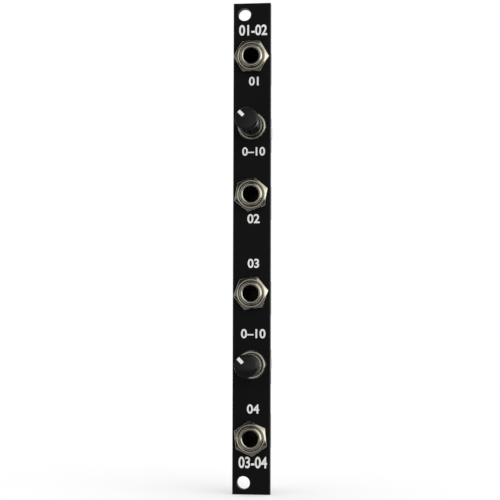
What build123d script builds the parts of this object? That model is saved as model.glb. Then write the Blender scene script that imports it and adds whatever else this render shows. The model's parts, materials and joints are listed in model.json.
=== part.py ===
from build123d import *
import math
import os

# Narrow rack module with two passive level controls: two sockets and a knob for each. Millimetres.
# The origin is midway between the two rail screw holes, on the back face of the front panel.
# X runs to the right, Z up and Y into the rack, so the front of the panel faces -Y.

# Front panel: aluminium, two width units wide and three rack units high
PANEL_WIDTH = 9.8
PANEL_HEIGHT = 128.5
PANEL_THICKNESS = 2.0
PANEL_EDGE_BREAK = 0.15
RAIL_HOLE_DIAMETER = 3.4
RAIL_HOLE_FROM_LEFT = 2.9
RAIL_HOLE_FROM_END = 3.0

# Heights of the six axes above the middle of the panel, as shares of the panel's height
UPPER_IN_SHARE = 0.3875
UPPER_KNOB_SHARE = 0.245
UPPER_OUT_SHARE = 0.104
LOWER_IN_SHARE = -0.0965
LOWER_KNOB_SHARE = -0.2405
LOWER_OUT_SHARE = -0.3875

# How far each hexagon nut is turned, in degrees, as they were left when tightened
UPPER_IN_NUT_TURN = 0
UPPER_OUT_NUT_TURN = 40
LOWER_IN_NUT_TURN = 51
LOWER_OUT_NUT_TURN = 24

# Circuit board, behind all sockets and controls
BOARD_SIDE_INSET = 0.25
BOARD_END_MARGIN = 1.8
BOARD_THICKNESS = 1.6
BOARD_CORNER = 0.6
BOARD_DEPTH = 10.0

# Clearances and the overrun of all cuts
OVERRUN = 1.0
PANEL_HOLE_CLEARANCE = 0.15
THREAD_CLEARANCE = 0.05
SEAT_CLEARANCE = 0.08
SHAFT_CLEARANCE = 0.05
PIN_CLEARANCE = 0.15
CONTACT_GAP = 0.06

# Socket for a 3.5 mm plug: threaded bushing, its square flange and its nut
BUSHING_BORE = 3.6
BUSHING_WALL = 1.2
BUSHING_REACH = 4.5
BUSHING_LIP = 0.3
BUSHING_MOUTH = 0.25
BUSHING_MOUTH_DEPTH = 1.0
FLANGE_LAP = 0.4
FLANGE_THICKNESS = 0.6
FLANGE_WALL = 0.6
NUT_WALL = 1.0
NUT_THICKNESS = 2.0
NUT_FACE_INSET = 0.25
NUT_MOUTH = 0.3
NUT_CORNER_SHARE = 0.6
NUT_CHAMFER_ANGLE = 30

# Socket housing, open at its end and towards the board
HOUSING_TAIL = 2.0
HOUSING_CHAMFER = 0.5
CAVITY_SIDE_MARGIN = 0.3
CAVITY_TOP_MARGIN = 0.6

# Socket contacts, cut and bent from sheet metal
CONTACT_SHEET = 0.4
CONTACT_BEND = 0.5
GROUND_STRIP_WIDTH = 2.0
GROUND_TONGUE_GAP = 0.1
GROUND_TONGUE_LENGTH = 5.0
PIN_WIDTH = 1.0
PIN_REACH = 0.9
TIP_PLATE_LAP = 0.4
TIP_PLATE_SETBACK = 1.3
TIP_PLATE_TURN_IN = 0.8
SWITCH_PLATE_LAP = 0.6
SWITCH_PLATE_DROP = 2.2
LEAF_SHEET = 0.3
LEAF_WIDTH = 2.0
LEAF_NOSE_DROP = 1.5
LEAF_NOSE_BEND = 0.6
LEAF_END_RUN = 1.6
LEAF_END_FALL = 1.4
LEAF_END_TO_BOARD = 0.8

# Level control: bushing, frame and housing
COLLAR_BORE = 6.0
COLLAR_WALL = 0.6
COLLAR_STAND = 0.8
COLLAR_EDGE = 0.2
COLLAR_MOUTH = 0.15
FOOT_LAP = 0.4
FOOT_THICKNESS = 0.8
FRAME_DEPTH = 3.2
FRAME_THICKNESS = 0.8
FRAME_HOLE_CLEARANCE = 0.3
LEG_WIDTH = 3.0
LEG_THICKNESS = 0.5
LEG_TIP_WIDTH = 1.8
CONTROL_TAIL = 1.5
CONTROL_CHAMFER = 0.4
ROTOR_ROOM_WALL = 0.3
WAFER_WALL = 0.2
WAFER_LAP = 0.5
WAFER_TOP_WALL = 0.55
WAFER_THICKNESS = 0.8
TERMINAL_PITCH = 2.5
TERMINAL_WIDTH = 0.9
TERMINAL_OUT = 1.0

# Knob moulded in one with its shaft, and what turns with it
KNOB_STAND = 12.4
KNOB_CHAMFER = 0.45
POINTER_LENGTH = 1.75
POINTER_WIDTH = 0.87
POINTER_DEPTH = 0.5
POINTER_RIM = 0.1
KNOB_REST_TURN = -45
KEY_STEP = 1.15
KEY_FLAT_DEPTH = 0.6
ROTOR_WALL = 0.7
ROTOR_THICKNESS = 2.0
ROTOR_FACE_GAP = 0.15
ROTOR_CLEARANCE = 0.2
STOP_REACH = 0.5
ROTOR_STOP_HALF_ANGLE = 10
HOUSING_STOP_HALF_ANGLE = 19
WIPER_SHEET = 0.2
WIPER_WIDTH = 1.4
WIPER_INSET = 0.4
WIPER_ARM = 0.8
WIPER_LIFT = 0.6

# Solder at the back of the board
SOLDER_RADIUS = 0.95
SOLDER_SIDES = 8
SOLDER_HEIGHT = 0.6
SOLDER_TAPER = 30
LEG_SOLDER_WIDTH = 1.4

# Places and sizes of the panel and the sockets that follow from those above
COLUMN_X = PANEL_WIDTH / 2 - RAIL_HOLE_FROM_LEFT
PANEL_FRONT = -PANEL_THICKNESS
RAIL_HOLE_HEIGHT = PANEL_HEIGHT / 2 - RAIL_HOLE_FROM_END
BUSHING_DIAMETER = BUSHING_BORE + 2 * BUSHING_WALL
NUT_ACROSS_FLATS = BUSHING_DIAMETER + 2 * NUT_WALL
FLANGE_WIDTH = BUSHING_DIAMETER + 2 * FLANGE_LAP
HOUSING_WIDTH = FLANGE_WIDTH + 2 * FLANGE_WALL
HOUSING_ABOVE = HOUSING_WIDTH / 2
HOUSING_BELOW = HOUSING_ABOVE + HOUSING_TAIL
CAVITY_ABOVE = BUSHING_BORE / 2 + CAVITY_TOP_MARGIN
CAVITY_WIDTH = BUSHING_BORE + 2 * CAVITY_SIDE_MARGIN
STRIP_BACK = FLANGE_THICKNESS + CONTACT_SHEET
GROUND_STRIP_DEPTH = FLANGE_THICKNESS + CONTACT_SHEET / 2
GROUND_TONGUE_HEIGHT = BUSHING_BORE / 2 + GROUND_TONGUE_GAP
GROUND_LEG_HEIGHT = HOUSING_ABOVE + CONTACT_SHEET / 2
TIP_PLATE_WIDTH = CAVITY_WIDTH + 2 * TIP_PLATE_LAP
TIP_PLATE_START = STRIP_BACK + TIP_PLATE_SETBACK
TIP_PLATE_HEIGHT = -HOUSING_BELOW - CONTACT_SHEET / 2
SWITCH_PLATE_WIDTH = CAVITY_WIDTH + 2 * SWITCH_PLATE_LAP
LEAF_PIVOT_HEIGHT = TIP_PLATE_HEIGHT + TIP_PLATE_TURN_IN
LEAF_END_DEPTH = BOARD_DEPTH - LEAF_END_TO_BOARD
LEAF_NOSE_DEPTH = LEAF_END_DEPTH - LEAF_END_RUN

# Places and sizes of the level controls that follow from those above
COLLAR_DIAMETER = COLLAR_BORE + 2 * COLLAR_WALL
COLLAR_FRONT = PANEL_FRONT - COLLAR_STAND
FOOT_WIDTH = COLLAR_DIAMETER + 2 * FOOT_LAP
KNOB_DIAMETER = COLLAR_BORE - 2 * SHAFT_CLEARANCE
KNOB_FACE = PANEL_FRONT - KNOB_STAND
KEY_DIAMETER = KNOB_DIAMETER - 2 * KEY_STEP
FRAME_BACK = FRAME_DEPTH + FRAME_THICKNESS
ROTOR_RADIUS = KEY_DIAMETER / 2 + ROTOR_WALL
ROTOR_DEPTH = FRAME_BACK + ROTOR_FACE_GAP
ROTOR_BACK = ROTOR_DEPTH + ROTOR_THICKNESS
ROTOR_ROOM_RADIUS = ROTOR_RADIUS + STOP_REACH + ROTOR_CLEARANCE
CONTROL_WIDTH = 2 * (ROTOR_ROOM_RADIUS + ROTOR_ROOM_WALL + LEG_THICKNESS)
WAFER_WIDTH = CONTROL_WIDTH - 2 * (LEG_THICKNESS + WAFER_WALL)
WAFER_ABOVE = ROTOR_ROOM_RADIUS + WAFER_LAP
WAFER_DEPTH = ROTOR_BACK + WIPER_LIFT + WIPER_SHEET + CONTACT_GAP
WAFER_BACK = WAFER_DEPTH + WAFER_THICKNESS
CONTROL_ABOVE = WAFER_ABOVE + WAFER_TOP_WALL
CONTROL_BELOW = CONTROL_ABOVE + CONTROL_TAIL
TERMINAL_DEPTH = WAFER_DEPTH + WAFER_THICKNESS / 2
TERMINAL_HEIGHT = -CONTROL_BELOW - TERMINAL_OUT

# Places and sizes of the circuit board that follow from those above
BOARD_WIDTH = CONTROL_WIDTH - 2 * BOARD_SIDE_INSET
BOARD_TOP = UPPER_IN_SHARE * PANEL_HEIGHT + HOUSING_ABOVE + CONTACT_SHEET + BOARD_END_MARGIN
BOARD_FOOT = LOWER_OUT_SHARE * PANEL_HEIGHT - HOUSING_ABOVE - CONTACT_SHEET - BOARD_END_MARGIN
BOARD_BACK = BOARD_DEPTH + BOARD_THICKNESS
PIN_END = BOARD_BACK + PIN_REACH

# Each socket: height, turn of its nut, and whether its tip contact lies above the axis
SOCKETS = {
    "upper_in": (UPPER_IN_SHARE * PANEL_HEIGHT, UPPER_IN_NUT_TURN, False),
    "upper_out": (UPPER_OUT_SHARE * PANEL_HEIGHT, UPPER_OUT_NUT_TURN, False),
    "lower_in": (LOWER_IN_SHARE * PANEL_HEIGHT, LOWER_IN_NUT_TURN, False),
    "lower_out": (LOWER_OUT_SHARE * PANEL_HEIGHT, LOWER_OUT_NUT_TURN, True),
}
CONTROLS = {"upper": UPPER_KNOB_SHARE * PANEL_HEIGHT, "lower": LOWER_KNOB_SHARE * PANEL_HEIGHT}


def block(x, depth, height):
    """A box between two places along each axis, given as pairs."""
    size = [high - low for low, high in (x, depth, height)]
    middle = [(low + high) / 2 for low, high in (x, depth, height)]
    return Pos(*middle) * Box(*size)


def centred(width):
    """The two ends of a width about the middle."""
    return (-width / 2, width / 2)


def rod(radius, front, back):
    """A round rod about the Y axis."""
    blank = Cylinder(radius, back - front, align=(Align.CENTER, Align.CENTER, Align.MIN))
    return Pos(0, front, 0) * Rot(-90, 0, 0) * blank


def turned(*outline):
    """A turned piece about the Y axis, from points of radius and depth."""
    return revolve(make_face(Polyline(*outline, close=True)), Axis.Y, 360)


def bent_strip(width, thickness, bend, *route):
    """Sheet metal strip bent along a route of depth and height points, its width along X."""
    path = FilletPolyline(*route, radius=bend)
    section = Plane(path @ 0, x_dir=(0, 0, 1), z_dir=path % 0) * Rectangle(width, thickness)
    return Plane.YZ * sweep(section, path=path)


def sector(outer, inner, half_angle, front, back):
    """A piece of a ring about the Y axis, centred on the direction of +Z."""
    reach = outer + OVERRUN
    spread = reach * math.tan(math.radians(half_angle))
    wedge = make_face(Polyline((0, 0), (-spread, reach), (spread, reach), close=True))
    wedge = Pos(0, back, 0) * extrude(Plane.XZ * wedge, back - front)
    return wedge & (rod(outer, front, back) - rod(inner, front, back))


def at_socket(shape, height, tip_above):
    """Place a socket's piece on the column, turned over where its tip contact lies above."""
    turn = 180 if tip_above else 0
    return Pos(COLUMN_X, 0, height) * Rot(0, turn, 0) * shape


def at_control(shape, height):
    """Place a level control's piece on the column."""
    return Pos(COLUMN_X, 0, height) * shape


def front_panel():
    """Panel with its rail holes, socket holes and control holes."""
    middle = Pos(COLUMN_X, PANEL_FRONT / 2, 0)
    panel = middle * Box(PANEL_WIDTH, PANEL_THICKNESS, PANEL_HEIGHT)
    panel = chamfer(panel.faces().sort_by(Axis.Y)[0].edges(), PANEL_EDGE_BREAK)
    through = (PANEL_FRONT - OVERRUN, OVERRUN)
    for height in (RAIL_HOLE_HEIGHT, -RAIL_HOLE_HEIGHT):
        panel -= Pos(0, 0, height) * rod(RAIL_HOLE_DIAMETER / 2, *through)
    for height, _, _ in SOCKETS.values():
        hole = rod(BUSHING_DIAMETER / 2 + PANEL_HOLE_CLEARANCE, *through)
        panel -= Pos(COLUMN_X, 0, height) * hole
    for height in CONTROLS.values():
        hole = rod(COLLAR_DIAMETER / 2 + PANEL_HOLE_CLEARANCE, *through)
        panel -= Pos(COLUMN_X, 0, height) * hole
    return panel


def socket_nut():
    """Hexagon nut on the front of the panel, chamfered at its corners and its mouth."""
    front = PANEL_FRONT - NUT_THICKNESS
    hexagon = RegularPolygon(NUT_ACROSS_FLATS / 2, 6, major_radius=False)
    nut = Pos(0, front, 0) * Rot(-90, 0, 0) * extrude(hexagon, NUT_THICKNESS)
    face = NUT_ACROSS_FLATS / 2 - NUT_FACE_INSET
    clear_of_corners = NUT_ACROSS_FLATS * NUT_CORNER_SHARE
    slope = (clear_of_corners - face) * math.tan(math.radians(NUT_CHAMFER_ANGLE))
    nut &= turned(
        (0, front),
        (face, front),
        (clear_of_corners, front + slope),
        (clear_of_corners, PANEL_FRONT),
        (0, PANEL_FRONT),
    )
    bore = BUSHING_DIAMETER / 2 + THREAD_CLEARANCE
    nut -= rod(bore, front - OVERRUN, PANEL_FRONT + OVERRUN)
    mouth = bore + NUT_MOUTH
    return nut - turned((0, front), (mouth, front), (bore, front + NUT_MOUTH), (0, front + NUT_MOUTH))


def socket_bushing():
    """Bushing with a bevelled lip, and the square flange that keeps it from turning."""
    bore = BUSHING_BORE / 2
    outer = BUSHING_DIAMETER / 2
    lip = -BUSHING_REACH
    tube = turned((0, lip), (outer - BUSHING_LIP, lip), (outer, lip + BUSHING_LIP), (outer, 0), (0, 0))
    tube += block(centred(FLANGE_WIDTH), (0, FLANGE_THICKNESS), centred(FLANGE_WIDTH))
    lead_in = lip + BUSHING_MOUTH_DEPTH
    tube -= turned((0, lip), (bore + BUSHING_MOUTH, lip), (bore, lead_in), (0, lead_in))
    return tube - rod(bore, lip - OVERRUN, FLANGE_THICKNESS + OVERRUN)


def socket_housing():
    """Moulded housing: pocket of the flange in front, and the open room of the contacts."""
    heights = (-HOUSING_BELOW, HOUSING_ABOVE)
    housing = block(centred(HOUSING_WIDTH), (0, BOARD_DEPTH), heights)
    housing = chamfer(housing.edges().filter_by(Axis.Y), HOUSING_CHAMFER)
    pocket = centred(FLANGE_WIDTH + 2 * SEAT_CLEARANCE)
    housing -= block(pocket, (-OVERRUN, FLANGE_THICKNESS), pocket)
    slot = centred(GROUND_STRIP_WIDTH + 2 * SEAT_CLEARANCE)
    outside = HOUSING_ABOVE + OVERRUN
    housing -= block(slot, (-OVERRUN, STRIP_BACK), (0, outside))
    bend_room = (-OVERRUN, STRIP_BACK + CONTACT_BEND)
    housing -= block(slot, bend_room, (HOUSING_ABOVE - CONTACT_BEND, outside))
    back = BOARD_DEPTH + OVERRUN
    room = (-HOUSING_BELOW - OVERRUN, CAVITY_ABOVE)
    housing -= block(centred(CAVITY_WIDTH), (TIP_PLATE_START - CONTACT_SHEET, back), room)
    housing -= block(centred(CAVITY_WIDTH), (0, back), (-CAVITY_WIDTH / 2, CAVITY_ABOVE))
    plate = centred(SWITCH_PLATE_WIDTH + 2 * SEAT_CLEARANCE)
    slit = centred(CONTACT_SHEET + 2 * SEAT_CLEARANCE)
    slit = tuple(end - SWITCH_PLATE_DROP for end in slit)
    return housing - block(plate, (switch_plate_front() - SEAT_CLEARANCE, back), slit)


def contact_pin(height):
    """Straight pin from the back of the housing through the board."""
    heights = tuple(end + height for end in centred(CONTACT_SHEET))
    return block(centred(PIN_WIDTH), (BOARD_DEPTH, PIN_END), heights)


def ground_terminal():
    """Strip with a tongue along the plug, pinched behind the flange and bent over the housing."""
    strip = bent_strip(
        GROUND_STRIP_WIDTH,
        CONTACT_SHEET,
        CONTACT_BEND,
        (GROUND_STRIP_DEPTH, GROUND_TONGUE_HEIGHT),
        (GROUND_STRIP_DEPTH, GROUND_LEG_HEIGHT),
        (BOARD_DEPTH, GROUND_LEG_HEIGHT),
    )
    depths = (FLANGE_THICKNESS, FLANGE_THICKNESS + GROUND_TONGUE_LENGTH)
    heights = (GROUND_TONGUE_HEIGHT, GROUND_TONGUE_HEIGHT + CONTACT_SHEET)
    tongue = block(centred(GROUND_STRIP_WIDTH), depths, heights)
    return strip + tongue + contact_pin(GROUND_LEG_HEIGHT)


def tip_terminal():
    """Plate across the open end of the housing, turned in at the front to carry the leaf."""
    plate = bent_strip(
        TIP_PLATE_WIDTH,
        CONTACT_SHEET,
        CONTACT_BEND,
        (BOARD_DEPTH, TIP_PLATE_HEIGHT),
        (TIP_PLATE_START, TIP_PLATE_HEIGHT),
        (TIP_PLATE_START, LEAF_PIVOT_HEIGHT),
    )
    room = centred(CAVITY_WIDTH - 2 * SEAT_CLEARANCE)
    inside = (-HOUSING_BELOW, LEAF_PIVOT_HEIGHT)
    beyond = block(centred(HOUSING_WIDTH), (0, BOARD_DEPTH), inside)
    beyond -= block(room, (-OVERRUN, BOARD_DEPTH + OVERRUN), (inside[0] - OVERRUN, inside[1] + OVERRUN))
    return plate - beyond + contact_pin(TIP_PLATE_HEIGHT)


def tip_spring():
    """Leaf whose nose bears on the plug's tip and whose end bears on the switch contact."""
    return bent_strip(
        LEAF_WIDTH,
        LEAF_SHEET,
        LEAF_NOSE_BEND,
        (TIP_PLATE_START, LEAF_PIVOT_HEIGHT + LEAF_SHEET / 2 + CONTACT_GAP),
        (LEAF_NOSE_DEPTH, -LEAF_NOSE_DROP),
        (LEAF_END_DEPTH, -LEAF_NOSE_DROP - LEAF_END_FALL),
    )


def switch_plate_front():
    """Depth at which the switch plate's edge meets the sloping end of the leaf."""
    slant = math.hypot(LEAF_END_RUN, LEAF_END_FALL)
    edge_drop = SWITCH_PLATE_DROP + CONTACT_SHEET / 2
    along = (edge_drop - LEAF_NOSE_DROP) * LEAF_END_RUN / LEAF_END_FALL
    return LEAF_NOSE_DEPTH + along + (LEAF_SHEET / 2 + CONTACT_GAP) * slant / LEAF_END_FALL


def switch_contact():
    """Plate pressed into the side walls, on which the leaf rests while no plug is in."""
    heights = tuple(end - SWITCH_PLATE_DROP for end in centred(CONTACT_SHEET))
    plate = block(centred(SWITCH_PLATE_WIDTH), (switch_plate_front(), BOARD_DEPTH), heights)
    return plate + contact_pin(-SWITCH_PLATE_DROP)


def control_bushing():
    """Collar through the panel on its square foot, which is fixed to the frame."""
    outer = COLLAR_DIAMETER / 2
    collar = turned(
        (0, COLLAR_FRONT),
        (outer - COLLAR_EDGE, COLLAR_FRONT),
        (outer, COLLAR_FRONT + COLLAR_EDGE),
        (outer, FRAME_DEPTH),
        (0, FRAME_DEPTH),
    )
    foot = centred(FOOT_WIDTH)
    collar += block(foot, (FRAME_DEPTH - FOOT_THICKNESS, FRAME_DEPTH), foot)
    bore = COLLAR_BORE / 2
    mouth = bore + COLLAR_MOUTH
    mouth_end = COLLAR_FRONT + COLLAR_MOUTH
    collar -= turned((0, COLLAR_FRONT), (mouth, COLLAR_FRONT), (bore, mouth_end), (0, mouth_end))
    return collar - rod(bore, COLLAR_FRONT - OVERRUN, FRAME_DEPTH + OVERRUN)


def leg_outline():
    """Side view of one leg: straight to the board, then narrowing to its tip."""
    half, tip = LEG_WIDTH / 2, LEG_TIP_WIDTH / 2
    points = [(FRAME_DEPTH, -half), (BOARD_BACK, -half), (PIN_END, -tip)]
    points += [(PIN_END, tip), (BOARD_BACK, half), (FRAME_DEPTH, half)]
    return make_face(Polyline(*points, close=True))


def control_frame():
    """Sheet metal frame over the front of the control, with two legs into the board."""
    heights = (-CONTROL_BELOW, CONTROL_ABOVE)
    frame = block(centred(CONTROL_WIDTH), (FRAME_DEPTH, FRAME_BACK), heights)
    frame = chamfer(frame.edges().filter_by(Axis.Y), CONTROL_CHAMFER)
    frame -= rod(COLLAR_BORE / 2 + FRAME_HOLE_CLEARANCE, FRAME_DEPTH - OVERRUN, FRAME_BACK + OVERRUN)
    leg = extrude(Plane.YZ * leg_outline(), LEG_THICKNESS)
    frame += Pos(CONTROL_WIDTH / 2 - LEG_THICKNESS, 0, 0) * leg
    return frame + Pos(-CONTROL_WIDTH / 2, 0, 0) * leg


def control_housing():
    """Moulded housing with the rotor's round room, its stop and the slot of the wafer."""
    heights = (-CONTROL_BELOW, CONTROL_ABOVE)
    housing = block(centred(CONTROL_WIDTH), (FRAME_BACK, BOARD_DEPTH), heights)
    housing = chamfer(housing.edges().filter_by(Axis.Y), CONTROL_CHAMFER)
    housing -= rod(ROTOR_ROOM_RADIUS, FRAME_BACK - OVERRUN, WAFER_DEPTH)
    slot_width = centred(WAFER_WIDTH + 2 * SEAT_CLEARANCE)
    slot_heights = (-CONTROL_BELOW - OVERRUN, WAFER_ABOVE + SEAT_CLEARANCE)
    housing -= block(slot_width, (WAFER_DEPTH, WAFER_BACK), slot_heights)
    legs = centred(LEG_WIDTH + 2 * SEAT_CLEARANCE)
    inner = CONTROL_WIDTH / 2 - LEG_THICKNESS
    outer = CONTROL_WIDTH / 2 + OVERRUN
    for side in ((inner, outer), (-outer, -inner)):
        housing -= block(side, (FRAME_BACK - OVERRUN, BOARD_DEPTH + OVERRUN), legs)
    tip = ROTOR_ROOM_RADIUS - STOP_REACH
    stop = sector(ROTOR_ROOM_RADIUS, tip, HOUSING_STOP_HALF_ANGLE, FRAME_BACK, WAFER_DEPTH)
    return housing + Rot(0, 180, 0) * stop


def control_wafer():
    """Board of the resistive track, in its slot in the housing."""
    return block(centred(WAFER_WIDTH), (WAFER_DEPTH, WAFER_BACK), (-CONTROL_BELOW, WAFER_ABOVE))


def control_terminals():
    """Three flat terminals folded down from the wafer's end and back through the board."""
    sheet = centred(CONTACT_SHEET)
    depths = tuple(end + TERMINAL_DEPTH for end in sheet)
    heights = tuple(end + TERMINAL_HEIGHT for end in sheet)
    terminal = block(centred(TERMINAL_WIDTH), depths, (heights[0], -CONTROL_BELOW))
    terminal += block(centred(TERMINAL_WIDTH), (depths[0], PIN_END), heights)
    return [Pos(place * TERMINAL_PITCH, 0, 0) * terminal for place in (-1, 0, 1)]


def knob_key(clearance):
    """Round end of the shaft with one flat, that turns the rotor."""
    key = rod(KEY_DIAMETER / 2 + clearance, FRAME_BACK, ROTOR_BACK)
    flat = (-KEY_DIAMETER, KEY_FLAT_DEPTH - KEY_DIAMETER / 2 - clearance)
    return key - block(centred(2 * KEY_DIAMETER), (0, BOARD_DEPTH), flat)


def knob_blank():
    """Round bar of the knob and its shaft, bevelled at the rim of its face."""
    outer = KNOB_DIAMETER / 2
    return turned(
        (0, KNOB_FACE),
        (outer - KNOB_CHAMFER, KNOB_FACE),
        (outer, KNOB_FACE + KNOB_CHAMFER),
        (outer, FRAME_BACK),
        (0, FRAME_BACK),
    )


def knob_pointer():
    """White bar let into the knob's face and its bevel, flush with both."""
    rim = KNOB_DIAMETER / 2 - POINTER_RIM
    depths = (KNOB_FACE, KNOB_FACE + POINTER_DEPTH)
    return block(centred(POINTER_WIDTH), depths, (rim - POINTER_LENGTH, rim)) & knob_blank()


def knob():
    """Slim knob and its shaft in one piece, with a groove for the pointer."""
    return knob_blank() + knob_key(0) - knob_pointer()


def rotor():
    """Disc on the shaft's key, with the lug that meets the housing's stop."""
    disc = rod(ROTOR_RADIUS, ROTOR_DEPTH, ROTOR_BACK)
    lug_tip = ROTOR_RADIUS + STOP_REACH
    disc += sector(lug_tip, ROTOR_RADIUS / 2, ROTOR_STOP_HALF_ANGLE, ROTOR_DEPTH, ROTOR_BACK)
    return disc - knob_key(SEAT_CLEARANCE)


def wiper():
    """Sprung bar on the back of the rotor, its two ends bent down to the track."""
    end = ROTOR_RADIUS - WIPER_INSET
    flat = end - WIPER_ARM
    low = ROTOR_BACK + WIPER_LIFT
    back = WIPER_SHEET
    front_line = [(-end, low), (-flat, ROTOR_BACK), (flat, ROTOR_BACK), (end, low)]
    back_line = [(across, depth + back) for across, depth in reversed(front_line)]
    bar = extrude(make_face(Polyline(*front_line, *back_line, close=True)), WIPER_WIDTH)
    return Pos(0, 0, -WIPER_WIDTH / 2) * bar


def pin_places():
    """Every pin through the board: its X, its height, and its width and thickness."""
    places = []
    for height, _, tip_above in SOCKETS.values():
        side = -1 if tip_above else 1
        for pin in (GROUND_LEG_HEIGHT, TIP_PLATE_HEIGHT, -SWITCH_PLATE_DROP):
            places.append((COLUMN_X, height + side * pin, PIN_WIDTH))
    for height in CONTROLS.values():
        for place in (-1, 0, 1):
            across = COLUMN_X + place * TERMINAL_PITCH
            places.append((across, height + TERMINAL_HEIGHT, TERMINAL_WIDTH))
    return places


def leg_places():
    """The two sides of each control where a leg goes through the board's edge."""
    side = CONTROL_WIDTH / 2 - LEG_THICKNESS / 2
    return [(COLUMN_X + turn * side, height) for height in CONTROLS.values() for turn in (-1, 1)]


def circuit_board():
    """Strip of circuit board with a hole for every pin and a notch for every leg."""
    depths = (BOARD_DEPTH, BOARD_BACK)
    board = block(centred(BOARD_WIDTH), depths, (BOARD_FOOT, BOARD_TOP))
    board = Pos(COLUMN_X, 0, 0) * chamfer(board.edges().filter_by(Axis.Y), BOARD_CORNER)
    through = (BOARD_DEPTH - OVERRUN, BOARD_BACK + OVERRUN)
    for across, height, width in pin_places():
        opening = centred(width + 2 * PIN_CLEARANCE)
        slit = centred(CONTACT_SHEET + 2 * PIN_CLEARANCE)
        board -= Pos(across, 0, height) * block(opening, through, slit)
    for across, height in leg_places():
        opening = centred(LEG_THICKNESS + 2 * PIN_CLEARANCE)
        notch = centred(LEG_WIDTH + 2 * PIN_CLEARANCE)
        board -= Pos(across, 0, height) * block(opening, through, notch)
    return board


def solder_joints():
    """A cone of solder round every pin and a bead along every leg."""
    joints = []
    for across, height, width in pin_places():
        cone = extrude(RegularPolygon(SOLDER_RADIUS, SOLDER_SIDES), SOLDER_HEIGHT, taper=SOLDER_TAPER)
        cone = Pos(0, BOARD_BACK, 0) * Rot(-90, 0, 0) * cone
        pin = block(centred(width), (BOARD_BACK - OVERRUN, PIN_END), centred(CONTACT_SHEET))
        joints.append(Pos(across, 0, height) * (cone - pin))
    leg = Pos(-LEG_THICKNESS / 2, 0, 0) * extrude(Plane.YZ * leg_outline(), LEG_THICKNESS)
    depths = (BOARD_BACK, BOARD_BACK + SOLDER_HEIGHT)
    over_board = Pos(COLUMN_X, 0, 0) * block(centred(BOARD_WIDTH), depths, (BOARD_FOOT, BOARD_TOP))
    for across, height in leg_places():
        bead = Rectangle(LEG_SOLDER_WIDTH, LEG_WIDTH + LEG_SOLDER_WIDTH - LEG_THICKNESS)
        bead = extrude(bead, SOLDER_HEIGHT, taper=SOLDER_TAPER)
        bead = Pos(0, BOARD_BACK, 0) * Rot(-90, 0, 0) * bead
        joints.append(Pos(across, 0, height) * (bead - leg) & over_board)
    return joints


def save(name, shape):
    """Write one named piece, or a group of separate solids under one name."""
    if isinstance(shape, list):
        shape = Compound(children=shape)
    shape.label = name
    export_step(shape, f"parts/{name}.step")


def main():
    """Build and write every piece of the module."""
    os.makedirs("parts", exist_ok=True)
    save("front_panel", front_panel())
    save("circuit_board", circuit_board())
    save("solder_joints", solder_joints())
    nut = socket_nut()
    nuts = [Pos(COLUMN_X, 0, height) * Rot(0, turn, 0) * nut for height, turn, _ in SOCKETS.values()]
    save("socket_nuts", nuts)
    socket = {
        "bushing": socket_bushing(),
        "housing": socket_housing(),
        "ground_terminal": ground_terminal(),
        "tip_terminal": tip_terminal(),
        "tip_spring": tip_spring(),
        "switch_contact": switch_contact(),
    }
    for place, (height, _, tip_above) in SOCKETS.items():
        for piece, shape in socket.items():
            save(f"{place}_{piece}", at_socket(shape, height, tip_above))
    fixed = {
        "control_bushing": control_bushing(),
        "control_frame": control_frame(),
        "control_housing": control_housing(),
        "control_wafer": control_wafer(),
    }
    turning = {"knob": knob(), "knob_pointer": knob_pointer(), "rotor": rotor(), "wiper": wiper()}
    for place, height in CONTROLS.items():
        for piece, shape in fixed.items():
            save(f"{place}_{piece}", at_control(shape, height))
        for piece, shape in turning.items():
            save(f"{place}_{piece}", at_control(Rot(0, KNOB_REST_TURN, 0) * shape, height))
        terminals = [at_control(terminal, height) for terminal in control_terminals()]
        save(f"{place}_control_terminals", terminals)


main()
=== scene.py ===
"""The look of a narrow rack module with two level controls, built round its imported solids.

Everything is in metres in the frame of the solids: X to the right, Z up, and Y into the rack, so that
the front of the panel faces -Y. Sizes in the classes are in millimetres, as on a drawing.
"""

from __future__ import annotations

import json
import logging
import math
from collections.abc import Callable
from dataclasses import dataclass, replace
from enum import Enum

import bpy
from mathutils import Matrix, Vector

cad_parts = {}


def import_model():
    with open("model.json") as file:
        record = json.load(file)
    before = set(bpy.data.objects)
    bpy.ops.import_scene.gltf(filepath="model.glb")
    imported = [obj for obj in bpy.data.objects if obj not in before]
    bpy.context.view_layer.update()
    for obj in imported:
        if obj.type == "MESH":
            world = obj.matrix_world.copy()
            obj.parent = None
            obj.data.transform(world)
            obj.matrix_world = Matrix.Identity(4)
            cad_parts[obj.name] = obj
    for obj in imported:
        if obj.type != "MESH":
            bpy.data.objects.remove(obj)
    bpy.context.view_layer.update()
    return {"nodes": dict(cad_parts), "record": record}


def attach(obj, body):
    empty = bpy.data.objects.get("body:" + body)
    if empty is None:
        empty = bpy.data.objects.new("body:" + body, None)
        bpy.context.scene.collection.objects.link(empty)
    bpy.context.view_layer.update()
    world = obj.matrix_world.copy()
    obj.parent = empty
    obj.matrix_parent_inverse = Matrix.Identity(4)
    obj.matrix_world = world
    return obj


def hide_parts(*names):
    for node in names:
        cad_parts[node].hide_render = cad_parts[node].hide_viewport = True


Span = tuple[float, float]
Outline = list[Span]
Triple = tuple[float, float, float]
Piece = bpy.types.Object
Wire = bpy.types.NodeSocket

LOG = logging.getLogger("rack_module")
MM = 0.001
FULL_TURN = 2 * math.pi

# Place of the column of sockets and controls, and the steps and angles (in degrees) of the modelling
COLUMN_X = 2.0
MERGE_DISTANCE = 1e-7
OVERRUN = 1.0
ROUND_STEPS = 128
SMALL_STEPS = 32
ARC_STEPS = 7
PLAIN_EDGE_STEPS = 2
FINE_EDGE_STEPS = 3
SQUARE_EDGE = 60.0
TURNED_EDGE = 32.0
SOFT_EDGE = 30.0

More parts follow.
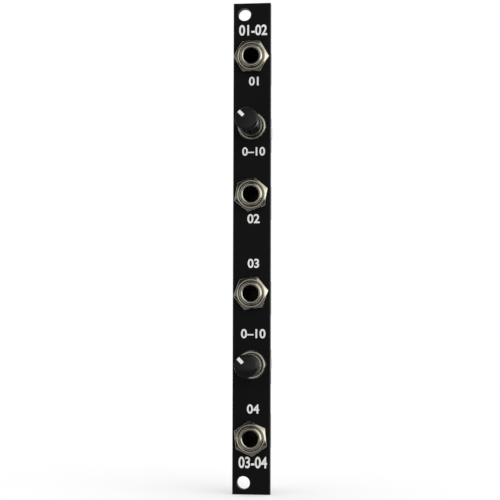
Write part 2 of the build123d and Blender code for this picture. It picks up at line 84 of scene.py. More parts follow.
# Share of a capital in the size of its type, and thickness and boldness of the ink
CAPITAL_SHARE = 0.7
INK_THICKNESS = 0.02
INK_BOLDNESS = 0.03

# Patterns of the finishes: finer layers of each, the hairlines, and the spans over which they act
GRAIN_DETAIL = 3.0
PATCH_DETAIL = 5.0
SCRATCH_DETAIL = 2.0
SCRATCH_SIZE = 0.2
SCRATCH_TURN = (0.5, 0.9, 0.3)
SCRATCH_STRETCH = (1.0, 0.03, 1.0)
SCRATCH_SPAN = (0.66, 0.72)
PATCH_SPAN = (0.3, 0.7)
EDGE_SPAN = (0.97, 0.8)
GLOSS_SPAN = (0.6, 1.4)
LEAST_ROUGHNESS = 0.02


@dataclass(eq=False)
class Axis:
    """A part on the column, by the height of its axis in millimetres and a turn about it in degrees.

    Its label is how the names of its nodes start, and its side is -1 where it's turned over.
    """

    label: str
    height: float
    turn: float
    side: int = 1

    def at(self, above: float) -> float:
        """Height of a place above the axis, or as far below it in a part that is turned over."""
        return self.height + self.side * above


class Socket(Axis, Enum):
    """The four sockets, each with the turn of its nut, and -1 where it's turned over."""

    UPPER_IN = "upper_in", 49.79375, 0.0
    UPPER_OUT = "upper_out", 13.364, 40.0
    LOWER_IN = "lower_in", -12.40025, 51.0
    LOWER_OUT = "lower_out", -49.79375, 24.0, -1


class Control(Axis, Enum):
    """The two level controls, each with the turn of its pointer at rest."""

    UPPER = "upper", 31.4825, -45.0
    LOWER = "lower", -30.90425, -45.0


class Grain(Enum):
    """Direction of a finish's fine grain, as the stretch of its pattern along X, Y and Z."""

    SPECKLE = (1.0, 1.0, 1.0)
    DRAWN_ALONG_Y = (1.0, 0.04, 1.0)
    DRAWN_ALONG_Z = (1.0, 1.0, 0.04)


class Wiring:
    """The node tree of a material or of the world, filled node by node."""

    def __init__(self, owner: bpy.types.Material | bpy.types.World) -> None:
        """Empty the owner's node tree, to fill it afresh.

        Args:
            owner: The material or the world.
        """
        owner.use_nodes = True
        self.tree = owner.node_tree
        self.tree.nodes.clear()

    def add(self, kind: str, inputs: dict | None = None, **settings: object) -> bpy.types.Node:
        """Add a node, set it up, and feed its inputs.

        Args:
            kind: Kind of the node, without the words that all kinds share.
            inputs: A wire or a value for each input, by its name or number.
            settings: The node's own settings.

        Returns:
            The node.
        """
        node = self.tree.nodes.new(f"ShaderNode{kind}")
        for name, value in settings.items():
            setattr(node, name, value)
        for name, value in (inputs or {}).items():
            if isinstance(value, Wire):
                self.tree.links.new(value, node.inputs[name])
            else:
                node.inputs[name].default_value = value
        return node

    def reckon(self, how: str, *values: Wire | float, clamp: bool = False) -> Wire:
        """Reckon one value from others, and keep it between 0 and 1 where it's clamped."""
        return self.add("Math", dict(enumerate(values)), operation=how, use_clamp=clamp).outputs["Value"]

    def slope(self, value: Wire, span: Span, levels: Span = (0.0, 1.0), curve: str = "LINEAR") -> Wire:
        """Go from one level to another while a value crosses a span."""
        ends = {"From Min": span[0], "From Max": span[1], "To Min": levels[0], "To Max": levels[1]}
        return self.add("MapRange", {"Value": value, **ends}, interpolation_type=curve).outputs["Result"]

    def blend(self, share: Wire, first: object, second: object, kind: str = "RGBA") -> Wire:
        """Blend two colours, or two numbers where the kind is FLOAT, by the share of the second."""
        return self.add("Mix", {"Factor": share, "A": first, "B": second}, data_type=kind).outputs["Result"]

    def noise(self, place: Wire, size: float, detail: float) -> Wire:
        """Add a noise pattern, by the size of its features in millimetres and its finer layers."""
        inputs = {"Vector": place, "Scale": 1 / (size * MM), "Detail": detail}
        return self.add("TexNoise", inputs).outputs["Fac"]


@dataclass(frozen=True)
class Finish:
    """One surface finish, with the size of its grain and patches in millimetres."""

    label: str
    colour: Triple
    roughness: float
    metallic: float = 0.0
    specular: float = 0.5
    tint_spread: float = 0.1
    patch_size: float = 5.0
    gloss_spread: float = 0.06
    grain: Grain = Grain.SPECKLE
    grain_size: float = 0.15
    grain_height: float = 0.004
    scratch_share: float = 0.25
    edge_colour: Triple | None = None
    edge_width: float = 0.15
    core_colour: Triple | None = None
    core_span: Span = (0.0, 0.0)
    slot: str = ""

    def material(self) -> bpy.types.Material:
        """Make the finish's material once, and give it back each time.

        Returns:
            The material, with procedural colour, gloss and relief.
        """
        name = f"{self.label}_finish"
        made = bpy.data.materials.get(name)
        if made is None:
            made = bpy.data.materials.new(name)
            Surface(made, self)
        return made


class Surface(Wiring):
    """The nodes of one finish, wired up from its fine grain, its broad patches and its hairlines."""

    def __init__(self, material: bpy.types.Material, finish: Finish) -> None:
        """Lay the three patterns, and wire them to the shader.

        Args:
            material: The material to fill.
            finish: Its finish.
        """
        super().__init__(material)
        self.finish = finish
        self.place = self.add("TexCoord").outputs["Object"]
        drawn = self._mapped(Scale=finish.grain.value)
        self.grain = self.noise(drawn, finish.grain_size, GRAIN_DETAIL)
        self.patches = self.noise(self.place, finish.patch_size, PATCH_DETAIL)
        turned = self._mapped(Rotation=SCRATCH_TURN, Scale=SCRATCH_STRETCH)
        self.scratches = self.slope(self.noise(turned, SCRATCH_SIZE, SCRATCH_DETAIL), SCRATCH_SPAN)
        inputs = {
            "Base Color": self._colour(),
            "Metallic": finish.metallic,
            "Specular IOR Level": finish.specular,
            "Roughness": self._roughness(),
            "Normal": self._relief(),
        }
        self.add("OutputMaterial", {"Surface": self.add("BsdfPrincipled", inputs).outputs["BSDF"]})

    def _mapped(self, **inputs: Triple) -> Wire:
        """Object coordinates that are stretched or turned."""
        return self.add("Mapping", {"Vector": self.place, **inputs}).outputs["Vector"]

    def _colour(self) -> Wire:
        """Vary the colour from patch to patch, rub its edges and bare its core, where it has them.

        Returns:
            The colour.
        """
        finish = self.finish
        ramp = self.add("ValToRGB", {"Fac": self.patches})
        dark, light = ramp.color_ramp.elements
        dark.position, light.position = PATCH_SPAN
        dark.color = (*(part * (1 - finish.tint_spread) for part in finish.colour), 1)
        light.color = (*(min(1.0, part * (1 + finish.tint_spread)) for part in finish.colour), 1)
        colour = ramp.outputs["Color"]
        if finish.edge_colour is not None:
            rounded = self.add("Bevel", {"Radius": finish.edge_width * MM}).outputs["Normal"]
            flat = self.add("NewGeometry").outputs["Normal"]
            likeness = self.add("VectorMath", {0: rounded, 1: flat}, operation="DOT_PRODUCT").outputs["Value"]
            worn = self.reckon("MULTIPLY", self.slope(likeness, EDGE_SPAN), self.grain)
            colour = self.blend(worn, colour, (*finish.edge_colour, 1))
        if finish.core_colour is not None:
            start, end = finish.core_span
            depth = self.add("SeparateXYZ", {"Vector": self.place}).outputs["Y"]
            bare = self.reckon("COMPARE", depth, (start + end) / 2 * MM, (end - start) / 2 * MM)
            colour = self.blend(bare, colour, (*finish.core_colour, 1))
        return colour

    def _roughness(self) -> Wire:
        """Vary the roughness with the grain and the patches, and dull the hairlines.

        Returns:
            The roughness.
        """
        middle, spread = self.finish.roughness, self.finish.gloss_spread
        levels = (max(LEAST_ROUGHNESS, middle - spread), middle + spread)
        varied = self.slope(self.reckon("ADD", self.grain, self.patches), GLOSS_SPAN, levels)
        return self.reckon("MULTIPLY_ADD", self.scratches, self.finish.scratch_share, varied, clamp=True)

    def _relief(self) -> Wire:
        """Give the grain and the hairlines their relief.

        Returns:
            The direction of the surface.
        """
        height = self.reckon("MULTIPLY_ADD", self.scratches, -self.finish.scratch_share, self.grain)
        inputs = {"Strength": 1.0, "Distance": self.finish.grain_height * MM, "Height": height}
        return self.add("Bump", inputs).outputs["Normal"]


PANEL_BLACK = Finish(
    "panel_black",
    (0.0038, 0.0038, 0.0041),
    0.5,
    specular=0.17,
    grain_size=0.09,
    grain_height=0.003,
    patch_size=9.0,
    edge_colour=(0.05, 0.05, 0.052),
)
NICKEL = Finish(
    "nickel",
    (0.7, 0.67, 0.56),
    0.16,
    1.0,
    tint_spread=0.06,
    patch_size=2.0,
    grain_size=0.4,
    grain_height=0.003,
)
BLACK_MOULDING = Finish(
    "black_moulding",
    (0.02, 0.02, 0.0205),
    0.46,
    grain_size=0.18,
    grain_height=0.008,
    edge_colour=(0.04, 0.04, 0.04),
)
KNOB_PLASTIC = Finish(
    "knob_plastic",
    (0.008, 0.008, 0.0084),
    0.14,
    specular=0.3,
    gloss_spread=0.03,
    grain_size=0.5,
    grain_height=0.0015,
    patch_size=3.0,
    scratch_share=0.08,
)
POINTER_WHITE = Finish("pointer_white", (0.85, 0.85, 0.82), 0.42, tint_spread=0.03, grain_height=0.002)
PRINT_WHITE = replace(
    POINTER_WHITE,
    label="print_white",
    colour=(0.84, 0.84, 0.82),
    roughness=0.55,
    tint_spread=0.05,
    patch_size=1.0,
    slot="pointer_white",
)
ROTOR_PLASTIC = Finish("rotor_plastic", (0.75, 0.72, 0.65), 0.5, tint_spread=0.04)
TINNED_CONTACT = Finish(
    "tinned_contact",
    (0.7, 0.69, 0.66),
    0.3,
    1.0,
    grain=Grain.DRAWN_ALONG_Y,
    grain_size=0.08,
    grain_height=0.003,
)
SPRING_BRASS = replace(TINNED_CONTACT, label="spring_brass", colour=(0.72, 0.55, 0.28), roughness=0.28)
ZINC_FRAME = Finish(
    "zinc_frame", (0.6, 0.6, 0.58), 0.36, 1.0, patch_size=1.5, grain_size=0.3, grain_height=0.005
)
RESISTIVE_WAFER = Finish(
    "resistive_wafer", (0.32, 0.18, 0.08), 0.6, tint_spread=0.2, grain=Grain.DRAWN_ALONG_Z, grain_size=0.2
)
BOARD_LAMINATE = Finish(
    "board_laminate",
    (0.01, 0.01, 0.012),
    0.34,
    specular=0.3,
    grain_size=0.35,
    patch_size=4.0,
    core_colour=(0.13, 0.1, 0.045),
    core_span=(10.04, 11.56),
)
BOARD_TRACK = replace(
    BOARD_LAMINATE,
    label="board_track",
    colour=(0.06, 0.064, 0.07),
    roughness=0.3,
    core_colour=None,
    slot="board_laminate",
)
SOLDER = Finish("solder", (0.72, 0.72, 0.74), 0.14, 1.0, grain_size=0.5, grain_height=0.01)
NODE_FINISHES = (
    PANEL_BLACK, NICKEL, BLACK_MOULDING, KNOB_PLASTIC, POINTER_WHITE, ROTOR_PLASTIC,
    TINNED_CONTACT, SPRING_BRASS, ZINC_FRAME, RESISTIVE_WAFER, BOARD_LAMINATE, SOLDER,
)
FINISHES = {finish.label: finish for finish in NODE_FINISHES}


class Bench:
    """The modelling steps that all pieces share, done with Blender's own tools."""

    @staticmethod
    def clear() -> None:
        """Leave nothing selected."""
        if bpy.context.mode != "OBJECT":
            bpy.ops.object.mode_set(mode="OBJECT")
        bpy.ops.object.select_all(action="DESELECT")

    @staticmethod
    def pick(piece: Piece) -> None:
        """Select one piece alone and make it the active one.

        Args:
            piece: The piece to work on.
        """
        Bench.clear()
        piece.select_set(True)
        bpy.context.view_layer.objects.active = piece

    @staticmethod
    def add(operator: Callable[..., set], **options: object) -> Piece:
        """Add one object by its operator.

        Args:
            operator: The operator that adds it.
            options: The operator's own options.

        Returns:
            The object, alone and active.
        """
        Bench.clear()
        operator(**options)
        return bpy.context.object

    @staticmethod
    def discard(piece: Piece) -> None:
        """Delete a tool or pattern that isn't needed any more."""
        Bench.pick(piece)
        bpy.ops.object.delete()

    @staticmethod
    def settle(piece: Piece, name: str) -> Piece:
        """Put a piece's place into its mesh, and name both.

        Args:
            piece: The piece.
            name: Its name.

        Returns:
            The piece.
        """
        Bench.pick(piece)
        bpy.ops.object.transform_apply(location=True, rotation=True, scale=True)
        piece.name = name
        piece.data.name = name
        return piece

    @staticmethod
    def copy(piece: Piece, name: str) -> Piece:
        """Copy a piece with a mesh of its own.

        Args:
            piece: The piece to copy.
            name: Name of the copy.

        Returns:
            The copy.
        """
        Bench.pick(piece)
        bpy.ops.object.duplicate(linked=False)
        return Bench.settle(bpy.context.object, name)

    @staticmethod
    def move(piece: Piece, across: float, height: float, turn: float = 0.0) -> Piece:
        """Turn a piece about its Y axis, then carry it to its place, all in its mesh.

        Args:
            piece: The piece, on the origin's axis.
            across: Where it goes along X, in millimetres.
            height: Where it goes along Z.
            turn: How far it turns about Y, in degrees.

        Returns:
            The piece.
        """
        piece.rotation_euler = (0, math.radians(turn), 0)
        piece.location = (across * MM, 0, height * MM)
        return Bench.settle(piece, piece.name)

    @staticmethod
    def merge() -> None:
        """Merge what lies in one place, in edit mode, and leave everything selected."""
        bpy.ops.mesh.select_all(action="SELECT")
        bpy.ops.mesh.remove_doubles(threshold=MERGE_DISTANCE)
        bpy.ops.mesh.select_all(action="SELECT")

    @staticmethod
    def close_mesh() -> None:
        """Merge doubles and point all faces outwards, in edit mode, then leave it."""
        Bench.merge()
        bpy.ops.mesh.normals_make_consistent(inside=False)
        bpy.ops.object.mode_set(mode="OBJECT")

    @staticmethod
    def trace(points: list[Vector], closed: bool = True) -> Piece:
        """Draw a line from point to point, and stay in edit mode with all of it selected.

        Args:
            points: The points, in metres.
            closed: Whether the line comes back to its first point.

        Returns:
            The line.
        """
        line = Bench.add(bpy.ops.mesh.primitive_circle_add, vertices=3, radius=MM, fill_type="NOTHING")
        bpy.ops.object.mode_set(mode="EDIT")
        bpy.ops.mesh.select_mode(type="VERT")
        bpy.ops.mesh.select_all(action="SELECT")
        bpy.ops.mesh.merge(type="CENTER")
        bpy.ops.transform.translate(value=points[0])
        route = points + points[:1] if closed else points
        for last, point in zip(route, route[1:]):
            bpy.ops.mesh.extrude_vertices_move(TRANSFORM_OT_translate={"value": point - last})
        Bench.merge()
        return line

    @staticmethod
    def lathe(name: str, outline: Outline, closed: bool = True, steps: int = ROUND_STEPS) -> Piece:
        """Turn a piece about the Y axis from its outline.

        Args:
            name: Name of the piece.
            outline: Points of radius and depth, in millimetres.
            closed: Whether the outline comes back to its first point.
            steps: Number of steps round the axis.

        Returns:
            The turned piece, on the origin's axis.
        """
        piece = Bench.trace([Vector((radius * MM, depth * MM, 0)) for radius, depth in outline], closed)
        bpy.ops.mesh.spin(steps=steps, angle=FULL_TURN, center=(0, 0, 0), axis=(0, 1, 0))
        Bench.close_mesh()
        return Bench.settle(piece, name)

    @staticmethod
    def plug(name: str, radius: float, front: float, back: float, steps: int = ROUND_STEPS) -> Piece:
        """A full cylinder from front to back along the Y axis, to cut a hole with, in millimetres."""
        outline = [(0, front), (radius, front), (radius, back), (0, back)]
        return Bench.lathe(name, outline, closed=False, steps=steps)

    @staticmethod
    def plate(name: str, outline: Outline, depths: Span) -> Piece:
        """A flat piece that lies square to the Y axis, from its outline.

        Args:
            name: Name of the piece.
            outline: Points along X and Z, in millimetres.
            depths: Its ends along Y.

        Returns:
            The piece.
        """
        front, back = depths
        piece = Bench.trace([Vector((across * MM, front * MM, height * MM)) for across, height in outline])
        bpy.ops.mesh.edge_face_add()
        thickness = Vector((0, (back - front) * MM, 0))
        bpy.ops.mesh.extrude_region_move(TRANSFORM_OT_translate={"value": thickness})
        Bench.close_mesh()
        return Bench.settle(piece, name)

    @staticmethod
    def block(name: str, *spans: Span) -> Piece:
        """A box between two places along each axis, to be shaped further.

        Args:
            name: Name of the piece.
            spans: Its ends along X, Y and Z, in millimetres.

        Returns:
            The box.
        """
        middle = [(low + high) / 2 * MM for low, high in spans]
        size = [(high - low) * MM for low, high in spans]
        box = Bench.add(bpy.ops.mesh.primitive_cube_add, size=1, location=middle, scale=size)
        return Bench.settle(box, name)

    @staticmethod
    def quarter(crest: Span, side: Span) -> Outline:
        """Points of a rounded edge, from the crest down to the side.

        Args:
            crest: Radius and depth at which the edge is level.
            side: Radius and depth at which it is upright.

        Returns:
            Points of radius and depth.
        """
        points: Outline = []
        for step in range(ARC_STEPS + 1):
            angle = math.pi / 2 * step / ARC_STEPS
            radius = crest[0] + (side[0] - crest[0]) * math.sin(angle)
            points.append((radius, side[1] + (crest[1] - side[1]) * math.cos(angle)))
        return points

    @staticmethod
    def figure(
        name: str, text: str, place: Triple, height: float, widest: float, behind: bool = False
    ) -> Piece:
        """A flat printed figure.

        Args:
            name: Name of the piece.
            text: The figure.
            place: Its middle, on the surface that it's printed on.
            height: Height of its digits.
            widest: How wide it may be.
            behind: Whether the surface faces the back.

        Returns:
            The figure.
        """
        label = Bench.add(bpy.ops.object.text_add, location=(0, 0, 0))
        label.data.body = text
        label.data.size = height / CAPITAL_SHARE * MM
        label.data.extrude = INK_THICKNESS / 2 * MM
        label.data.offset = height * INK_BOLDNESS * MM
        label.data.align_x = "CENTER"
        bpy.ops.object.convert(target="MESH")
        label = bpy.context.object
        left, low, _ = (min(places) for places in zip(*label.bound_box))
        right, high, _ = (max(places) for places in zip(*label.bound_box))
        side = -1 if behind else 1
        stretch = height * MM / (high - low)
        narrowing = min(stretch, widest * MM / (right - left))
        label.rotation_euler = (math.pi / 2, 0, math.pi if behind else 0)
        label.scale = (narrowing, stretch, 1)
        label.location = (
            place[0] * MM - side * (left + right) / 2 * narrowing,
            (place[1] - side * INK_THICKNESS / 2) * MM,
            place[2] * MM - (low + high) / 2 * stretch,
        )
        Bench.settle(label, name)
        bpy.ops.object.mode_set(mode="EDIT")
        Bench.close_mesh()
        return label

    @staticmethod
    def join(pieces: list[Piece], name: str) -> Piece:
        """Make one piece of several that share a finish.

        Args:
            pieces: The pieces.
            name: Name of the whole.

        Returns:
            The whole.
        """
        Bench.pick(pieces[0])
        for piece in pieces:
            piece.select_set(True)
        bpy.ops.object.join()
        return Bench.settle(bpy.context.object, name)

    @staticmethod
    def modify(piece: Piece, kind: str, **settings: object) -> None:
        """Add a modifier to a piece, set it up and apply it.

        Args:
            piece: The piece.
            kind: Kind of the modifier.
            settings: The modifier's own settings.
        """
        Bench.pick(piece)
        modifier = piece.modifiers.new(kind.lower(), kind)
        for name, value in settings.items():
            setattr(modifier, name, value)
        bpy.ops.object.modifier_apply(modifier=modifier.name)

    @staticmethod
    def combine(piece: Piece, tool: Piece, how: str, keep_tool: bool = False) -> None:
        """Join a piece with a tool, cut the tool out of it, or keep what they share.

        Args:
            piece: The piece.
            tool: The other body.
            how: UNION, DIFFERENCE or INTERSECT.
            keep_tool: Whether the tool is still needed.
        """
        Bench.modify(piece, "BOOLEAN", operation=how, solver="EXACT", object=tool)
        if not keep_tool:
            Bench.discard(tool)

    @staticmethod
    def round_edges(piece: Piece, width: float, segments: int, angle: float) -> None:
        """Round the edges that turn by more than an angle in degrees, by a width in millimetres."""
        limit = {"limit_method": "ANGLE", "angle_limit": math.radians(angle)}
        Bench.modify(piece, "BEVEL", width=width * MM, segments=segments, **limit)

    @staticmethod
    def smooth(piece: Piece, angle: float = SOFT_EDGE) -> None:
        """Shade a piece smooth where its faces meet at less than an angle.

        Args:
            piece: The piece.
            angle: The angle, in degrees.
        """
        Bench.pick(piece)
        bpy.ops.object.shade_smooth_by_angle(angle=math.radians(angle))
        Bench.modify(piece, "WEIGHTED_NORMAL", keep_sharp=True)

    @staticmethod
    def add_foot(tube: Piece, width: float, depths: Span, bore: float, rounding: float) -> None:
        """Join a square foot with a round hole to a turned tube, and shade the whole smooth.

        Args:
            tube: The tube, on the origin's axis.
            width: Width of the foot, in millimetres.
            depths: Its ends along Y.
            bore: Radius of its hole.
            rounding: Width of its rounded edges.
        """
        half = width / 2
        foot = Bench.block("foot", (-half, half), depths, (-half, half))
        hole = Bench.plug("foot_hole", bore, depths[0] - OVERRUN, depths[1] + OVERRUN)
        Bench.combine(foot, hole, "DIFFERENCE")
        Bench.round_edges(foot, rounding, PLAIN_EDGE_STEPS, SQUARE_EDGE)
        Bench.combine(tube, foot, "UNION")
        Bench.smooth(tube, TURNED_EDGE)

    @staticmethod
    def dress(piece: Piece, finish: Finish, *replaced: str, body: str = "module") -> None:
        """Give a finished piece its material and its body, and hide the nodes that it stands for.

        Args:
            piece: The piece.
            finish: Its finish.
            replaced: Nodes that it stands for.
            body: The body that it rides on.
        """
        piece.data.materials.clear()
        piece.data.materials.append(finish.material())
        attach(piece, body)
        if replaced:
            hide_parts(*replaced)
        LOG.info("%s: %d faces, rides on %s", piece.name, len(piece.data.polygons), body)

    @staticmethod
    def fit(pattern: Piece, name: str, place: Span, finish: Finish, node: str, body: str = "module") -> None:
        """Copy a pattern to a height of the column and a turn in degrees, and dress the copy."""
        made = Bench.move(Bench.copy(pattern, name), COLUMN_X, *place)
        Bench.dress(made, finish, node, body=body)


@dataclass
class SocketNuts:
    """The four hexagon nuts of the sockets, each turned to its own angle."""

    across_flats: float = 8.0
    sides: int = 6
    front: float = -4.0
    back: float = -2.0
    bore: float = 3.05
    mouth: float = 3.35
    face_inset: float = 0.35
    chamfer_angle: float = 30.0
    blank_radius: float = 4.8
    blank_steps: int = 144
    rounding: float = 0.07
    rounded_edge: float = 24.0
    smooth_edge: float = 35.0

    def build(self) -> None:
        """Model one nut, copy it to the four sockets and dress the copies."""
        pattern = self._pattern()
        for socket in Socket:
            Bench.fit(pattern, f"{socket.label}_nut", (socket.height, socket.turn), NICKEL, "socket_nuts")
        Bench.discard(pattern)

    def _pattern(self) -> Piece:
        """Turn the blank, saw off its six sides and round its edges.

        Returns:
            One nut on the origin's axis.
        """
        face = self.across_flats / 2 - self.face_inset
        slope = (self.blank_radius - face) * math.tan(math.radians(self.chamfer_angle))
        outline = [
            (self.mouth, self.front),
            (face, self.front),
            (self.blank_radius, self.front + slope),
            (self.blank_radius, self.back),
            (self.bore, self.back),
            (self.bore, self.front + self.mouth - self.bore),
        ]
        nut = Bench.lathe("nut_pattern", outline, steps=self.blank_steps)
        Bench.pick(nut)
        bpy.ops.object.mode_set(mode="EDIT")
        for side in range(self.sides):
            angle = math.radians(360 / self.sides * side)
            direction = Vector((math.sin(angle), 0, math.cos(angle)))
            bpy.ops.mesh.select_all(action="SELECT")
            bpy.ops.mesh.bisect(
                plane_co=direction * self.across_flats / 2 * MM,
                plane_no=direction,
                use_fill=True,
                clear_outer=True,
                threshold=MERGE_DISTANCE,
            )
        Bench.close_mesh()
        Bench.round_edges(nut, self.rounding, FINE_EDGE_STEPS, self.rounded_edge)
        Bench.smooth(nut, self.smooth_edge)
        return nut


@dataclass
class SocketBushings:
    """The four threaded bushings, each with the square flange behind the panel."""

    bore: float = 1.8
    outer: float = 3.0
    lip: float = -4.5
    mouth: float = 2.1
    mouth_depth: float = 0.8
    crest: float = 2.5
    mouth_round: float = 0.14
    lip_round: float = 0.45
    flange_width: float = 6.8
    flange_thickness: float = 0.6
    flange_round: float = 0.08
    thread_pitch: float = 0.5
    thread_depth: float = 0.22
    thread_turns: int = 8
    crest_share: float = 0.2
    root_share: float = 0.6

    def build(self) -> None:
        """Model one bushing, copy it to the four sockets and dress the copies."""
        pattern = self._pattern()
        for socket in Socket:
            name = f"{socket.label}_threaded_bushing"
            Bench.fit(pattern, name, (socket.height, 0.0), NICKEL, f"{socket.label}_bushing")
        Bench.discard(pattern)

    def _lip(self) -> Outline:
        """Points of the rounded lip, from the bore over the crest to the thread.

        Returns:
            Points of radius and depth.
        """
        inner = Bench.quarter((self.crest, self.lip), (self.mouth, self.lip + self.mouth_round))
        outer = Bench.quarter((self.crest, self.lip), (self.outer, self.lip + self.lip_round))
        return [(self.bore, self.lip + self.mouth_depth), *reversed(inner), *outer[1:]]

    def _thread(self) -> Outline:
        """Points of the thread, from the lip to its end on the plain tube.

        Returns:
            Points of radius and depth.
        """
        start, pitch = self.lip + self.lip_round, self.thread_pitch
        points: Outline = []
        for turn in range(self.thread_turns):
            depth = start + turn * pitch
            if turn:
                points.append((self.outer, depth))
            points.append((self.outer, depth + pitch * self.crest_share))
            points.append((self.outer - self.thread_depth, depth + pitch * self.root_share))
        return [*points, (self.outer, start + self.thread_turns * pitch)]

    def _pattern(self) -> Piece:
        """Turn the tube with its thread and join the flange to it.

        Returns:
            One bushing on the origin's axis.
        """
        ends = [(self.outer, self.flange_thickness), (self.bore, self.flange_thickness)]
        tube = Bench.lathe("bushing_pattern", [*self._lip(), *self._thread(), *ends])
        Bench.add_foot(tube, self.flange_width, (0, self.flange_thickness), self.bore, self.flange_round)
        return tube


@dataclass
class SocketHousings:
    """The four moulded socket housings, with rounded corners and a shallow field on each side."""

    half_width: float = 4.0
    top: float = 4.0
    foot: float = -6.0
    back: float = 10.0
    corner: float = 0.5
    edge: float = 0.1
    rounded_edge: float = 30.0
    field_depth: float = 0.18
    field_margin: float = 1.3
    field_round: float = 0.15
    mark_radius: float = 0.8
    mark_depth: float = 0.1
    pockets: tuple[tuple[Span, Span, Span], ...] = (
        ((-3.48, 3.48), (-1.0, 0.6), (-3.48, 3.48)),
        ((-1.08, 1.08), (-1.0, 1.0), (0.0, 5.0)),
        ((-1.08, 1.08), (-1.0, 1.5), (3.5, 5.0)),
        ((-2.1, 2.1), (1.9, 11.0), (-7.0, 2.4)),
        ((-2.1, 2.1), (-1.0, 11.0), (-2.1, 2.4)),
        ((-2.78, 2.78), (8.867, 11.0), (-2.48, -1.92)),
    )

    def build(self) -> None:
        """Model one housing, copy it to the four sockets and dress the copies."""
        pattern = self._pattern()
        for socket in Socket:
            name = f"{socket.label}_moulded_housing"
            place = (socket.height, 0 if socket.side > 0 else 180)
            Bench.fit(pattern, name, place, BLACK_MOULDING, f"{socket.label}_housing")
        Bench.discard(pattern)

    def _pattern(self) -> Piece:
        """Round the block, sink the side fields and cut the rooms of the contacts.

        Returns:
            One housing on the origin's axis.
        """
        corner, half, foot, top = self.corner, self.half_width, self.foot, self.top
        flat = half - corner
        outline = [(-half, foot + corner), (-flat, foot), (flat, foot), (half, foot + corner)]
        outline += [(half, top - corner), (flat, top), (-flat, top), (-half, top - corner)]
        housing = Bench.plate("housing_pattern", outline, (0, self.back))
        Bench.round_edges(housing, self.edge, PLAIN_EDGE_STEPS, self.rounded_edge)
        for side in (-1, 1):
            self._sink_field(housing, side)
        for spans in self.pockets:
            Bench.combine(housing, Bench.block("pocket", *spans), "DIFFERENCE")
        Bench.smooth(housing)
        return housing

    def _sink_field(self, housing: Piece, side: int) -> None:
        """Sink the shallow field of one side, with the round mark of an ejector pin in it.

        Args:
            housing: The housing.
            side: -1 for the left side, 1 for the right one.
        """
        depths = (self.field_margin, self.back - self.field_margin)
        heights = (self.foot + self.field_margin, self.top - self.field_margin)
        floor = self.half_width - self.field_depth
        across = tuple(sorted((side * floor, side * (self.half_width + OVERRUN))))
        tool = Bench.block("side_field", across, depths, heights)
        Bench.round_edges(tool, self.field_round, FINE_EDGE_STEPS, SQUARE_EDGE)
        Bench.combine(housing, tool, "DIFFERENCE")
        mark = Bench.plug("ejector_mark", self.mark_radius, 0, OVERRUN, SMALL_STEPS)
        mark.rotation_euler = (0, 0, -side * math.pi / 2)
        mark.location = (side * (floor - self.mark_depth) * MM, sum(depths) / 2 * MM, sum(heights) / 2 * MM)
        Bench.combine(housing, Bench.settle(mark, "ejector_mark"), "DIFFERENCE")


